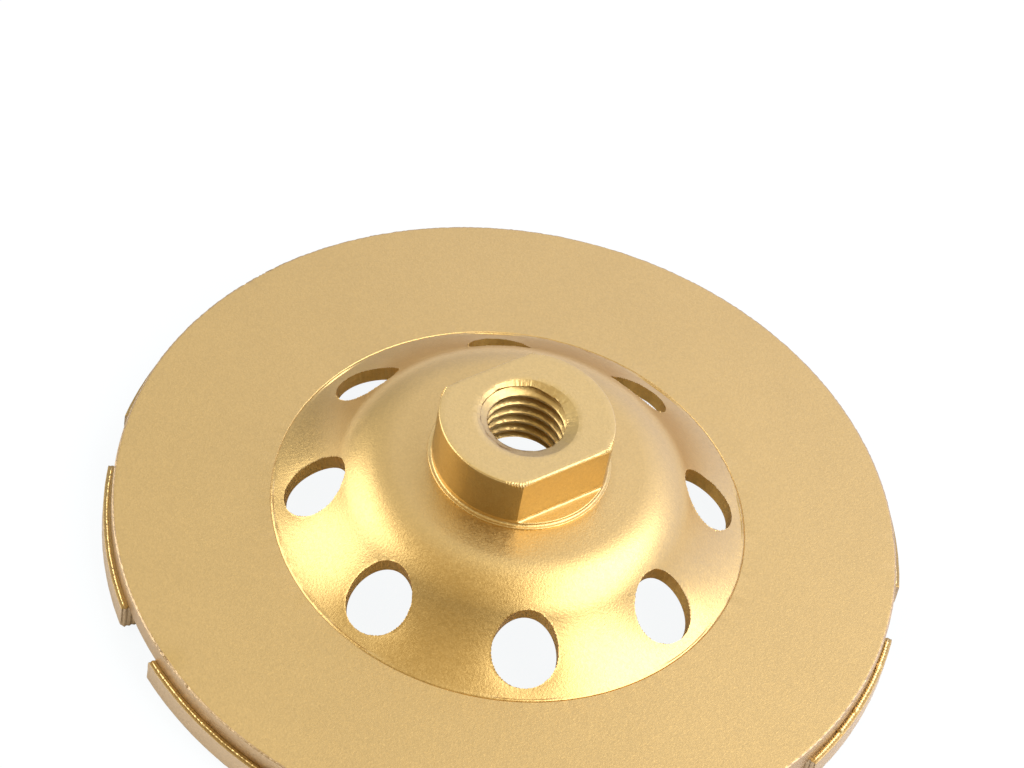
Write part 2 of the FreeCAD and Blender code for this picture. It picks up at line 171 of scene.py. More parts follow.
def new_material(name):
    """An empty material with its shader and its coordinates in metres."""
    material = bpy.data.materials.new(name)
    material.use_nodes = True
    tree = material.node_tree
    shader = tree.nodes["Principled BSDF"]
    place = add_node(tree, "ShaderNodeTexCoord").outputs["Object"]
    return material, tree, shader, place


def set_ramp(node, stops):
    """Gives a colour ramp its stops, each a position and a grey value or a colour."""
    ramp = node.color_ramp
    while len(ramp.elements) < len(stops):
        ramp.elements.new(1.0)
    for element, (position, value) in zip(ramp.elements, stops):
        element.position = position
        colour = [value] * 3 if isinstance(value, (int, float)) else value
        element.color = (*colour, 1.0)


def per_mm(size):
    """Scale of a texture whose features are this many millimetres wide."""
    return 1.0 / (size * MM)


def gold_lacquer(name, colour, roughness, grain_depth):
    """Fine metallic gold lacquer sprayed on shot-blasted steel.

    The flakes make it a metal to the eye; the blasted ground under the thin coat gives the
    satin highlights their grain.
    """
    material, tree, shader, place = new_material(name)
    # the spray lies slightly thicker in one place than in the next
    cloud = add_node(tree, "ShaderNodeTexNoise",
                     {"Vector": place, "Scale": per_mm(14), "Detail": 3.0, "Roughness": 0.55})
    tone = add_node(tree, "ShaderNodeMapRange",
                    {"Value": cloud.outputs["Fac"], "From Min": 0.35, "From Max": 0.65,
                     "To Min": 0.985, "To Max": 1.015})
    # flakes are 0.02 to 0.05 mm; they are drawn 0.3 mm wide, so that they show
    flake = add_node(tree, "ShaderNodeTexVoronoi", {"Vector": place, "Scale": per_mm(0.3)})
    sparkle = add_node(tree, "ShaderNodeSeparateColor", {"Color": flake.outputs["Color"]})
    glint = add_node(tree, "ShaderNodeMapRange",
                     {"Value": sparkle.outputs["Red"], "To Min": 0.955, "To Max": 1.045})
    value = add_node(tree, "ShaderNodeMath", {0: tone.outputs[0], 1: glint.outputs[0]},
                     operation="MULTIPLY")
    tinted = add_node(tree, "ShaderNodeHueSaturation",
                      {"Color": (*colour, 1.0), "Value": value.outputs[0]})
    tree.links.new(tinted.outputs["Color"], shader.inputs["Base Color"])
    shader.inputs["Metallic"].default_value = 1.0
    # flakes that stand askew dull the metal's edge tint
    shader.inputs["Specular Tint"].default_value = (0.80, 0.74, 0.70, 1.0)
    # the clear binder over the flakes adds an uncoloured satin shine, most where light grazes
    shader.inputs["Coat Weight"].default_value = 0.5
    shader.inputs["Coat Roughness"].default_value = 0.33
    shader.inputs["Coat IOR"].default_value = 1.5
    gloss = add_node(tree, "ShaderNodeMapRange",
                     {"Value": sparkle.outputs["Green"], "To Min": roughness - 0.05,
                      "To Max": roughness + 0.05})
    tree.links.new(gloss.outputs[0], shader.inputs["Roughness"])
    # blasting leaves dents of 0.2 to 0.4 mm, softened by the coat, and a finer sand in them
    dents = add_node(tree, "ShaderNodeTexNoise",
                     {"Vector": place, "Scale": per_mm(0.36), "Detail": 1.0, "Roughness": 0.5})
    sand = add_node(tree, "ShaderNodeTexNoise",
                    {"Vector": place, "Scale": per_mm(0.19), "Detail": 1.0, "Roughness": 0.5})
    coarse = add_node(tree, "ShaderNodeBump",
                      {"Height": dents.outputs["Fac"], "Strength": 1.0,
                       "Distance": grain_depth * MM})
    fine = add_node(tree, "ShaderNodeBump",
                    {"Height": sand.outputs["Fac"], "Strength": 1.0,
                     "Distance": 0.5 * grain_depth * MM, "Normal": coarse.outputs["Normal"]})
    tree.links.new(fine.outputs["Normal"], shader.inputs["Normal"])
    return material


class Shell:
    """Points in millimetres and faces of one piece, while it is being made."""

    def __init__(self):
        self.points = []
        self.faces = []
        self.paints = []

    def add_rows(self, rows, closed=True, paint=0):
        """Adds a strip of quads between each row of points and the next."""
        first = len(self.points)
        width = len(rows[0])
        for row in rows:
            self.points.extend(row)
        steps = width if closed else width - 1
        for i in range(len(rows) - 1):
            for j in range(steps):
                a = first + i * width + j
                b = first + i * width + (j + 1) % width
                self.faces.append((a, b, b + width, a + width))
                self.paints.append(paint)

    def add_fan(self, coarse, fine, paint=0):
        """Joins a closed row to a finer one, which has a whole number of points to each."""
        first = len(self.points)
        self.points.extend(coarse)
        self.points.extend(fine)
        count, share = len(coarse), len(fine) // len(coarse)
        for i in range(count):
            near = [first + i, first + (i + 1) % count]
            far = [first + count + (i * share + k) % len(fine) for k in range(share, -1, -1)]
            self.faces.append(tuple(near + far))
            self.paints.append(paint)

    def make(self, name, materials, sharp=22):
        """Makes the object, joins what meets and marks its sharp edges."""
        mesh = bpy.data.meshes.new(name)
        mesh.from_pydata([Vector(p) * MM for p in self.points], [], self.faces)
        mesh.polygons.foreach_set("material_index", self.paints)
        shape = bmesh.new()
        shape.from_mesh(mesh)
        bmesh.ops.remove_doubles(shape, verts=shape.verts, dist=WELD)
        bmesh.ops.dissolve_degenerate(shape, edges=shape.edges, dist=WELD / 2)
        bmesh.ops.recalc_face_normals(shape, faces=shape.faces)
        open_edges = sum(1 for edge in shape.edges if not edge.is_manifold)
        shape.to_mesh(mesh)
        shape.free()
        for material in materials:
            mesh.materials.append(material)
        mesh.shade_smooth()
        mesh.set_sharp_from_angle(angle=math.radians(sharp))
        piece = bpy.data.objects.new(name, mesh)
        bpy.context.scene.collection.objects.link(piece)
        print(name, "triangles", sum(len(p.vertices) - 2 for p in mesh.polygons),
              "open edges", open_edges)
        return piece


def wobble(point, size, seed):
    """Smooth noise from -1 to 1 whose lumps are this many millimetres wide."""
    return noise.noise(Vector(point) / size + Vector((seed * 17.3, seed * 5.1, -seed * 9.7)))


def around(radius, angle, height):
    """A point at a radius, an angle and a height."""
    return (radius * math.cos(angle), radius * math.sin(angle), height)


def spread(start, end, count):
    """Count + 1 values evenly from start to end."""
    return [start + (end - start) * i / count for i in range(count + 1)]


def corner_arc(centre, radius, start, end, count):
    """Points of an arc in the section, angles in degrees."""
    return [(centre[0] + radius * math.cos(math.radians(a)),
             centre[1] + radius * math.sin(math.radians(a))) for a in spread(start, end, count)]


# ---------------------------------------------------------------- the dome's section

def dome_section():
    """Centres of the dome's foot and shoulder arcs, and the end of the crown's slope."""
    foot = Vector((DOME_BASE[0] + FOOT_RADIUS * math.sin(BASE_ANGLE),
                   DOME_BASE[1] + FOOT_RADIUS * math.cos(BASE_ANGLE)))
    down = Vector((math.cos(CROWN_ANGLE), -math.sin(CROWN_ANGLE)))
    out = Vector((math.sin(CROWN_ANGLE), math.cos(CROWN_ANGLE)))
    first = Vector((SEAT_RADIUS, SEAT)) - out * SHOULDER_RADIUS
    gap = first - foot
    half = gap.dot(down)
    run = -half - math.sqrt(half ** 2 - gap.length_squared
                            + (SHOULDER_RADIUS + FOOT_RADIUS) ** 2)
    return foot, first + down * run, Vector((SEAT_RADIUS, SEAT)) + down * run


FOOT_CENTRE, SHOULDER_CENTRE, SLOPE_END = dome_section()


def dome_height(radius, inset=0.0):
    """Height of the dome's outer face at a radius, or of a face inset from it."""
    out = Vector((math.sin(CROWN_ANGLE), math.cos(CROWN_ANGLE)))
    slope_end = SLOPE_END - out * inset
    across = (SHOULDER_CENTRE - FOOT_CENTRE).normalized()
    meeting = FOOT_CENTRE + across * (FOOT_RADIUS + inset)
    if radius <= slope_end.x:
        level = slope_end.y + math.tan(CROWN_ANGLE) * (slope_end.x - radius)
        return min(level, SEAT - inset)
    if radius <= meeting.x:
        reach = SHOULDER_RADIUS - inset
        return SHOULDER_CENTRE.y + math.sqrt(reach ** 2 - (radius - SHOULDER_CENTRE.x) ** 2)
    reach = FOOT_RADIUS + inset
    return FOOT_CENTRE.y - math.sqrt(reach ** 2 - (FOOT_CENTRE.x - radius) ** 2)


def hole_point(turn, inset):
    """Where a dust hole's wall meets the dome, for a hole that lies on +X."""
    lean = Vector((math.sin(HOLE_TILT), 0, math.cos(HOLE_TILT)))
    side = Vector((math.cos(HOLE_TILT), 0, -math.sin(HOLE_TILT)))
    start = Vector((HOLE_MIDDLE[0], 0, HOLE_MIDDLE[1]))
    start += side * HOLE_RADIUS * math.cos(turn)
    start += Vector((0, 1, 0)) * HOLE_RADIUS * math.sin(turn)
    low, high = -9.0, 9.0
    for _ in range(40):
        middle = (low + high) / 2
        point = start + lean * middle
        if point.z < dome_height(math.hypot(point.x, point.y), inset):
            low = middle
        else:
            high = middle
    return start + lean * low


# ---------------------------------------------------------------- the cup body

SECTOR_COLUMNS = 72
SIDE_ROWS = 32
PATCH_INNER = 22.6
PATCH_OUTER = 36.55
UNDER_INNER = 21.2
UNDER_OUTER = 37.6


def sector_edge(inner, outer):
    """The border of one dust hole's part of the dome, as radii and angles."""
    half = math.pi / HOLE_COUNT
    border = [(outer, a) for a in spread(-half, half, SECTOR_COLUMNS)[:-1]]
    border += [(r, half) for r in spread(outer, inner, SIDE_ROWS)[:-1]]
    border += [(inner, a) for a in spread(half, -half, SECTOR_COLUMNS)[:-1]]
    border += [(r, -half) for r in spread(inner, outer, SIDE_ROWS)[:-1]]
    return border


def hole_turns():
    """Angles around the hole for the lines of the dome's mesh, close to even steps."""
    border = sector_edge(PATCH_INNER, PATCH_OUTER)
    start = -math.pi * SECTOR_COLUMNS / len(border)
    turns = []
    for i, (radius, angle) in enumerate(border):
        point = around(radius, angle, 0)
        straight = math.atan2(point[1], point[0] - HOLE_MIDDLE[0])
        even = start + 2 * math.pi * i / len(border)
        straight += 2 * math.pi * round((even - straight) / (2 * math.pi))
        turns.append(0.35 * straight + 0.65 * even)
    return turns


def dome_patch(inner, outer, inset, rings, turns, middle, dip, reach, burr):
    """Rings of points from a dust hole's edge to the border of its part of the dome.

    The dome dips by `dip` at the hole and comes back over `reach`; `burr` is the punch's burr.
    """
    border = sector_edge(inner, outer)
    rim = [hole_point(turn, inset) for turn in turns]
    rows = []
    for k in range(rings + 1):
        share = (k / rings) ** 1.7
        row = []
        for (radius, angle), start, turn in zip(border, rim, turns):
            end = Vector(around(radius, angle, 0))
            plan = Vector((start.x, start.y, 0)).lerp(end, share)
            away = (plan - Vector((start.x, start.y, 0))).length
            fade = math.exp(-away / reach) if k < rings else 0.0
            # the punch pulled the dome in least on the side of the hub
            pulled = dip * (0.12 + 0.88 * (1 + math.cos(turn)) / 2) ** 0.7
            height = dome_height(math.hypot(plan.x, plan.y), inset) - pulled * fade
            if burr and k < len(BURR_UP):
                place = (HOLE_RADIUS * turn, 9 * middle, 0)
                out = Vector((math.cos(turn), math.sin(turn), 0))
                plan += out * burr * wobble(place, 0.4, 3) * BURR_OUT[k]
                along = HOLE_RADIUS * turn + 0.2 * wobble(place, 2, 6)
                phase = 2 * math.pi * along / TOOTH_STEP
                tooth = max(math.sin(phase) + wobble(place, 1.1, 5), 0)
                height += burr * tooth * BURR_UP[k] * (0.4 + 0.6 * abs(math.sin(turn)))
            spin = HOLE_PHASE + middle * 2 * math.pi / HOLE_COUNT
            row.append((plan.x * math.cos(spin) - plan.y * math.sin(spin),
                        plan.x * math.sin(spin) + plan.y * math.cos(spin), height))
        rows.append(row)
    return rows


def body_columns(finer=1):
    """Angles of the body's mesh lines, which match the borders of the dust holes' parts."""
    half = math.pi / HOLE_COUNT
    total = SECTOR_COLUMNS * HOLE_COUNT * finer
    return [HOLE_PHASE - half + 2 * math.pi * i / total for i in range(total)]


def rim_knocks(row, depth):
    """Pushes a row of the rim's edge inwards and down where it was knocked."""
    knocked = []
    for point in row:
        angle = math.degrees(math.atan2(point[1], point[0]))
        zone = max(math.exp(-(math.remainder(angle - middle, 360) / width) ** 4)
                   for middle, width in KNOCKED)
        bite = depth * zone * max(wobble(point, 0.55, 14) + 0.1, 0)
        scale = 1 - bite / RIM_RADIUS
        knocked.append((point[0] * scale, point[1] * scale, point[2] - bite))
    return knocked


def turned_rows(section, columns, uneven=0.0, size=1.0, seed=1):
    """One row of points around the axis for each point of the section."""
    rows = []
    for radius, height in section:
        row = []
        for angle in columns:
            point = around(radius, angle, height)
            if uneven:
                shift = uneven * wobble(point, size, seed)
                point = around(radius + shift, angle, height + shift)
            row.append(point)
        rows.append(row)
    return rows


def blend_ends(section, columns, uneven, size, seed):
    """Turned rows whose first and last row stay true, so that they meet their neighbours."""
    rough = turned_rows(section, columns, uneven, size, seed)
    true = turned_rows([section[0], section[-1]], columns)
    return [true[0]] + rough[1:-1] + [true[1]]


def build_cup_body(sizes):
    """The pressed and turned steel body with its punched dust holes."""
    shell = Shell()
    columns = body_columns()
    turns = hole_turns()

    crown = [(CROWN_BORE, SEAT), (SEAT_RADIUS, SEAT)]
    crown += [(r, dome_height(r)) for r in spread(SEAT_RADIUS, PATCH_INNER, 14)[1:]]
    shell.add_rows(turned_rows(crown, columns))

    dip = sizes.hole_roll / MM
    burr = sizes.hole_burr / MM
    walls = []
    for middle in range(HOLE_COUNT):
        outer = dome_patch(PATCH_INNER, PATCH_OUTER, inset=0.0, rings=16, turns=turns,
                           middle=middle, dip=dip, reach=DIP_REACH, burr=burr)
        under = dome_patch(UNDER_INNER, UNDER_OUTER, inset=WALL, rings=6, turns=turns,
                           middle=middle, dip=0.0, reach=1.0, burr=0.0)
        shell.add_rows(outer)
        shell.add_rows(under)
        spin = HOLE_PHASE + middle * 2 * math.pi / HOLE_COUNT
        centre = Vector(around(HOLE_MIDDLE[0], spin, 0))
        wall = []
        for share in spread(0, 1, 5):
            row = []
            for top, bottom in zip(outer[0], under[0]):
                point = Vector(top).lerp(Vector(bottom), share)
                if 0 < share < 1:
                    out = Vector((point.x - centre.x, point.y - centre.y, 0)).normalized()
                    point += out * 0.05 * wobble(point, 0.8, 8)
                row.append(tuple(point))
            wall.append(row)
        walls.append(wall)
    for wall in walls:
        shell.add_rows(wall, paint=2)

    step = sizes.facing_step / MM
    slope = (DOME_BASE[1] - RIM_TOP) / (RIM_RADIUS - DOME_BASE[0])
    edge = dome_height(PATCH_OUTER)

    def face_height(radius):
        return RIM_TOP + slope * (RIM_RADIUS - radius)

    foot = [(PATCH_OUTER, edge), (PATCH_OUTER + 0.08, edge - 0.035)]
    foot += [(PATCH_OUTER + across, face_height(PATCH_OUTER + across) - step * deep)
             for across, deep in FOOT_STEP]
    foot_rows = blend_ends(foot, columns, uneven=0.035, size=0.9, seed=11)
    # the two rows at the bottom of the step
    for row in foot_rows[3:5]:
        for i, angle in enumerate(columns):
            deeper = 0.8 * step * max(math.cos(angle - DEEP_STEP), 0.0) ** 1.5
            row[i] = (row[i][0], row[i][1], row[i][2] - deeper)
    shell.add_rows(foot_rows)

    rounding = sizes.rim_rounding / MM
    first = PATCH_OUTER + FOOT_STEP[-1][0]
    last = RIM_RADIUS - rounding
    face = [(r, face_height(r)) for r in spread(first, last - 0.3, 8)]
    face_rows = turned_rows(face, columns)
    shell.add_rows(face_rows)

    # the rim's mesh is finer, so that its edge can show knocks
    fine = body_columns(finer=3)
    curve = corner_arc((last, RIM_TOP - rounding), rounding, 90, 0, 4)
    curve[0] = (last, face_height(last))
    edge_rows = blend_ends(curve, fine, uneven=0.05, size=0.5, seed=4)
    edge_rows = [rim_knocks(row, sizes.rim_knock / MM * deep)
                 for row, deep in zip(edge_rows, (0.4, 0.8, 1.0, 0.8, 0.3))]
    shell.add_fan(face_rows[-1], edge_rows[0])
    shell.add_rows(edge_rows, paint=1)
    rim = [(RIM_RADIUS, z) for z in spread(RIM_TOP - rounding, UNDERSIDE + 0.1, 4)]
    rim_rows = blend_ends(rim, fine, uneven=0.03, size=1.2, seed=6)
    rim_rows[0] = edge_rows[-1]
    shell.add_rows(rim_rows, paint=1)

    inset_foot = FOOT_RADIUS + WALL
    flat_end = FOOT_CENTRE.x - math.sqrt(inset_foot ** 2 - (FOOT_CENTRE.y - UNDERSIDE) ** 2)
    under = [(r, UNDERSIDE) for r in spread(RIM_RADIUS - 0.1, flat_end, 5)]
    under += [(r, dome_height(r, WALL)) for r in spread(flat_end, UNDER_OUTER, 5)[1:]]
    under_rows = turned_rows(under, columns)
    shell.add_fan(under_rows[0], rim_rows[-1], paint=1)
    shell.add_rows(under_rows)

    roof = [(r, dome_height(r, WALL)) for r in spread(UNDER_INNER, SEAT_RADIUS, 7)]
    roof += [(CROWN_BORE + CLINCH, CROWN_UNDER), (CROWN_BORE, CROWN_UNDER + CLINCH),
             (CROWN_BORE, SEAT)]
    shell.add_rows(turned_rows(roof, columns))

    paint = gold_lacquer("gold_lacquer_on_blasted_steel", sizes.body_colour, 0.37, 0.026)
    # the rim takes a paler, pinker copy of the lacquer: partly its thin coat, partly a painted
    # reflection of the pale floor
    rim_paint_with_floor_reflection = gold_lacquer("thin_gold_lacquer_with_painted_rim_reflection", sizes.rim_coat_and_floor_reflection_colour, 0.45, 0.025)
    # the walls of the dust holes take a lighter, more saturated copy of the lacquer: painted
    # light on the walls
    hole_wall_painted_light_paint = gold_lacquer("gold_lacquer_with_painted_light_in_dust_holes", sizes.hole_wall_painted_light_colour, 0.42, 0.030)
    piece = shell.make("cup_body_lacquered", [paint, rim_paint_with_floor_reflection, hole_wall_painted_light_paint])
    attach(piece, "root")
    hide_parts("cup_body")


# ---------------------------------------------------------------- the spindle hub

def hub_columns():
    """Angles of the hub's mesh lines, closest where a flat meets the barrel."""
    stops = [-FLAT_CORNER, FLAT_CORNER, math.pi - FLAT_CORNER, math.pi + FLAT_CORNER,
             2 * math.pi - FLAT_CORNER]
    columns = []
    for start, end, count in zip(stops, stops[1:], (150, 110, 150, 110)):
        for share in spread(0, 1, count)[:-1]:
            eased = share - 0.7 * math.sin(2 * math.pi * share) / (2 * math.pi)
            columns.append(start + (end - start) * eased)
    return columns


def flat_radius(angle):
    """Distance from the axis to the hub's side, on a spanner flat or on the barrel."""
    across = abs(math.sin(angle))
    if across * BARREL_RADIUS <= FLAT_DISTANCE:
        return BARREL_RADIUS
    return FLAT_DISTANCE / across


def from_corner(angle):
    """Distance along the hub's side from the nearest edge between flat and barrel."""
    return (abs(math.asin(abs(math.sin(angle)))) - FLAT_CORNER) * BARREL_RADIUS


def hub_side(angle, edge):
    """The hub's section at this angle, as its end face with its edge, its side and its foot."""
    side = flat_radius(angle)
    foot = 0.42
    end_face = [(r, HUB_TOP) for r in spread(MOUTH_RADIUS, side - edge, 6)]
    end_face += corner_arc((side - edge, HUB_TOP - edge), edge, 90, 0, 5)[1:]
    wall = [(side, z) for z in spread(HUB_TOP - edge, SHELF + foot, 34)]
    base = [(min(r, BARREL_RADIUS), z) for r, z in
            corner_arc((side + foot, SHELF + foot), foot, 180, 270, 4)]
    shelf_start = min(side + foot, BARREL_RADIUS)
    shelf_end = max(shelf_start, BARREL_RADIUS - 0.12) if side < BARREL_RADIUS else BARREL_RADIUS
    base += [(r, SHELF) for r in spread(shelf_start, shelf_end, 4)[1:]]
    base += [(shelf_end + (BARREL_RADIUS - shelf_end) * 0.7, SHELF - 0.035),
             (BARREL_RADIUS, SHELF - 0.1)]
    fillet = 0.3
    base += corner_arc((BARREL_RADIUS + fillet, COLLAR_TOP + fillet), fillet, 180, 270, 5)
    bend = 0.12
    base += corner_arc((COLLAR_RADIUS - bend, COLLAR_TOP - bend), bend, 90, 0, 4)
    base += [(COLLAR_RADIUS, SEAT), (CROWN_BORE, SEAT), (CROWN_BORE, CROWN_UNDER + CLINCH),
             (CROWN_BORE + CLINCH, CROWN_UNDER), (bore_radius(angle, CROWN_UNDER), CROWN_UNDER)]
    return end_face, wall, base


def bore_radius(angle, height):
    """Radius of the threaded bore at an angle and a height."""
    from_groove = height - GROOVE_HEIGHT - THREAD_PITCH * (angle - GROOVE_ANGLE) / (2 * math.pi)
    offset = abs((from_groove + THREAD_PITCH / 2) % THREAD_PITCH - THREAD_PITCH / 2)
    root_half = THREAD_PITCH / 8
    crest_half = THREAD_PITCH * 3 / 8
    share = (offset - root_half) / (crest_half - root_half)
    thread = THREAD_ROOT + (THREAD_CREST - THREAD_ROOT) * min(max(share, 0.0), 1.0)
    mouth = MOUTH_RADIUS - (HUB_TOP - height) / math.tan(MOUTH_SLOPE)
    leaving = THREAD_CREST + THREAD_EXIT - (height - CROWN_UNDER)
    return max(thread, mouth, leaving)


def worn_side(radius, point, away, torn):
    """Radius of a point of the hub's side, after the cutter's tears and knocks.

    `away` is its distance from the nearest edge between flat and barrel.
    """
    depth = HUB_TOP - point[2]
    near = math.exp(-(away / 0.25) ** 2)
    radius -= 0.3 * torn * near * (0.6 + wobble(point, 0.35, 2))
    radius += 0.015 * wobble(point, 0.9, 7)
    # tears across the edge, most beside the corner on the barrel's side
    top = math.exp(-(depth / 0.6) ** 4)
    place = away + 0.35 * point[2] + 0.15 * wobble(point, 0.8, 15)
    tear = math.sin(2 * math.pi * place / TEAR_STEP)
    radius += torn * math.exp(-((away + 0.8) / 2.0) ** 4) * top * tear
    if away > 0.3:
        radius += 0.08 * math.exp(-(depth / 0.35) ** 2) * wobble(point, 0.4, 16)
    return radius


def bore_wear(radius, angle, height):
    """How far the bore's wall is off its true radius, which it keeps at both ends."""
    depth = HUB_TOP - height
    if depth <= 0 or height <= CROWN_UNDER:
        return 0.0
    place = around(radius, angle, height)
    shift = 0.025 * wobble(place, 0.45, 12)
    # the tap tore the mouth on one side, and the countersink left streaks in it
    side = max(math.cos(angle - TORN_MOUTH), 0) ** 2
    shift += 0.16 * side * math.exp(-((depth - 0.7) / 0.4) ** 2) * wobble(place, 0.3, 13)
    streak = wobble(around(MOUTH_RADIUS, angle, 0.3 * height), 0.28, 17)
    shift += 0.07 * math.exp(-(depth / 0.7) ** 4) * streak
    return shift * min(depth / 0.15, 1)


def build_spindle_hub(sizes):
    """The turned hub with its two milled flats and its tapped bore."""
    shell = Shell()
    columns = hub_columns()
    edge = sizes.hub_edge / MM
    torn = sizes.torn_edge / MM
    # the cutter left a wider edge on the flats, widest where a flat meets the barrel
    sections = []
    for angle in columns:
        away = from_corner(angle)
        wider = 0.13 * min(max(away + 0.3, 0.0), 1.0)
        wider += 0.22 * math.exp(-((away + 0.5) / 2.0) ** 4)
        sections.append(hub_side(angle, edge + wider))
    # end face, side and foot, each with its paint
    for part, paint in ((0, 0), (1, 2), (2, 0)):
        rows = []
        for level in range(len(sections[0][part])):
            row = []
            for angle, section in zip(columns, sections):
                radius, height = section[part][level]
                point = around(radius, angle, height)
                away = from_corner(angle)
                # the side above the shelf, then the edge of the collar's fillet
                if radius > CROWN_BORE - 0.5 and SHELF + 0.2 < height < HUB_TOP - 0.02:
                    radius = worn_side(radius, point, away, torn)
                elif COLLAR_TOP - 0.2 < height < SHELF - 0.3 and radius > BARREL_RADIUS - 0.5:
                    radius += 0.03 * wobble(point, 0.7, 9)
                row.append(around(radius, angle, height))
            rows.append(row)
        shell.add_rows(rows, paint=paint)

    # rows of the bore run along the thread, so that its crests stay smooth
    steps = 16
    turns = [angle - columns[0] for angle in columns] + [2 * math.pi]
    drop = int((HUB_TOP - CROWN_UNDER) / THREAD_PITCH) + 2
    bore = []
    for k in range(drop * steps + 1):
        row = []
        for turn in turns:
            angle = columns[0] + turn
            height = CROWN_UNDER - THREAD_PITCH + THREAD_PITCH * k / steps
            height += THREAD_PITCH * turn / (2 * math.pi)
            height = min(max(height, CROWN_UNDER), HUB_TOP)
            radius = bore_radius(angle, height)
            radius += bore_wear(radius, angle, height)
            row.append(around(radius, angle, height))
        bore.append(row)
    shell.add_rows(bore, closed=False, paint=1)

    paint = gold_lacquer("gold_lacquer_on_turned_steel", sizes.hub_colour, 0.37, 0.027)
    # the bore takes a darker copy of the hub's lacquer: painted shade in the threaded bore
    thread = gold_lacquer("gold_lacquer_with_painted_shade_in_bore", sizes.thread_shade_colour, 0.34, 0.02)
    # the flats and the barrel take a darker copy of the hub's lacquer: painted shade on the hub's
    # side
    wall = gold_lacquer("gold_lacquer_with_painted_shade_on_hub_side", sizes.side_shade_colour, 0.44, 0.024)
    piece = shell.make("spindle_hub_lacquered", [paint, thread, wall])
    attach(piece, "root")
    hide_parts("spindle_hub")


# ---------------------------------------------------------------- segments and braze

# which of a bar's six sides is its top
TOP_SIDE = 3


def segment_surface(columns, rows, layers):
    """The six sides of a bar, as rows of shares from -1 to 1 along it, across it and up it."""
    along = spread(-1, 1, columns)
    across = spread(-1, 1, rows)
    up = spread(-1, 1, layers)
    sides = []
    for end in (-1, 1):
        sides.append([[(x, y, end) for x in along] for y in across])
        sides.append([[(x, end, z) for x in along] for z in up])
        sides.append([[(end, y, z) for y in across] for z in up])
    return sides


def build_segments(sizes):
    """Ten sintered segments with blunt edges, the lower outer edge worn to a slope."""
    # the segments' coat is greyer and pinker than the body's lacquer: partly thin overspray on
    # the grey bond, partly a painted reflection of the pale floor
    coat = gold_lacquer("gold_overspray_with_painted_floor_reflection", sizes.segment_coat_and_reflection_colour, 0.50, 0.045)
    # the ledge beside the rim's wall takes a darker copy of the lacquer: painted shade
    ledge = gold_lacquer("gold_lacquer_with_painted_shade_on_ledge", sizes.ledge_shade_colour, 0.42, 0.040)
    middle_radius = (SEGMENT_OUTER + SEGMENT_INNER) / 2
    half = Vector((SEGMENT_SPAN / 2 * middle_radius, (SEGMENT_OUTER - SEGMENT_INNER) / 2,
                   UNDERSIDE / 2))
    blunt = sizes.segment_blunt / MM
    worn = sizes.segment_wear / MM
    for number in range(SEGMENT_COUNT):
        spin = SEGMENT_PHASE + number * 2 * math.pi / SEGMENT_COUNT
        shell = Shell()
        for face, side in enumerate(segment_surface(columns=80, rows=36, layers=12)):
            rows = []
            for line in side:
                row = []
                for share in line:
                    point = Vector(share) * half
                    inner = Vector([max(min(p, h - blunt), blunt - h)
                                    for p, h in zip(point, half)])
                    off = point - inner
                    if off.length > 1e-9:
                        point = inner + off.normalized() * blunt
                    # the worn edge
                    over = (point.y - (half.y - worn)) + (-point.z - (half.z - worn)) - worn
                    if over > 0:
                        point += Vector((0, -over / 2, over / 2))
                    place = around(middle_radius + point.y, spin + point.x / middle_radius,
                                   half.z + point.z)
                    sink = 0.03 * (1 - wobble(place, 1.1, 20 + number))
                    end_face = max(abs(share[0]) - FLUTE_START, 0) / FLUTE_FADE
                    wave = 1 + math.sin(2 * math.pi * point.y / FLUTE_STEP)
                    flute = FLUTE_DEPTH * wave * end_face
                    point.x -= math.copysign(flute + sink * end_face, point.x)
                    if share[1] == 1:
                        point.y -= sink
                    row.append(around(middle_radius + point.y,
                                      spin + point.x / middle_radius, half.z + point.z))
                rows.append(row)
            shell.add_rows(rows, closed=False, paint=1 if face == TOP_SIDE else 0)
        piece = shell.make(f"segment_bar_{number + 1:02d}", [coat, ledge], sharp=40)
        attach(piece, "root")
        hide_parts(f"segment_{number + 1:02d}")


def build_braze(sizes):
    """The thin lumpy bead that the braze leaves along the ledge of each segment."""
    # the bead takes a lighter copy of the lacquer: a painted highlight along the braze
    metal = gold_lacquer("gold_lacquer_with_painted_highlight_on_braze", sizes.braze_highlight_colour, 0.30, 0.02)
    reach = SEGMENT_SPAN / 2 - 0.006
    for number in range(SEGMENT_COUNT):
        spin = SEGMENT_PHASE + number * 2 * math.pi / SEGMENT_COUNT
        shell = Shell()
        rows = []
        for i in range(BEAD_STEPS + 1):
            share = 2 * i / BEAD_STEPS - 1
            angle = spin + reach * share
            here = around(BEAD_RADIUS, angle, UNDERSIDE)
            taper = min(1.0, (1 - abs(share)) * 14 + 0.15)
            lump = 1 + 0.35 * wobble(here, 1.0, 31) + 0.45 * wobble(here, 0.4, 32)
            along = math.remainder(angle - WIDE_BEAD, 2 * math.pi)
            wide = math.exp(-(along / WIDE_BEAD_HALF) ** 6)
            lump += wide * (1.0 + 0.35 * math.sin(2 * math.pi * along * BEAD_RADIUS / RIB_STEP))
            for drop in BEAD_DROPS:
                off = math.remainder(angle - drop, 2 * math.pi) * BEAD_RADIUS
                lump += 1.1 * math.exp(-(off / 0.4) ** 2)
            half = sizes.braze_size / 2 / MM * taper * lump
            middle = BEAD_RADIUS - 0.1 * wide + 0.05 * wobble(here, 2.5, 33)
            # the bead's foot lies a little below the ledge, so that no gap shows
            rows.append([around(middle + half * math.cos(math.radians(turn)), angle,
                                UNDERSIDE - 0.06 + 1.2 * half * math.sin(math.radians(turn)))
                         for turn in spread(0, 180, 8)])
        shell.add_rows(rows)
        for end in (rows[0], rows[-1]):
            first = len(shell.points)
            shell.points.extend(end)
            shell.faces.append(tuple(range(first, first + len(end))))
            shell.paints.append(0)
        piece = shell.make(f"braze_bead_{number + 1:02d}", [metal], sharp=50)
        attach(piece, "root")


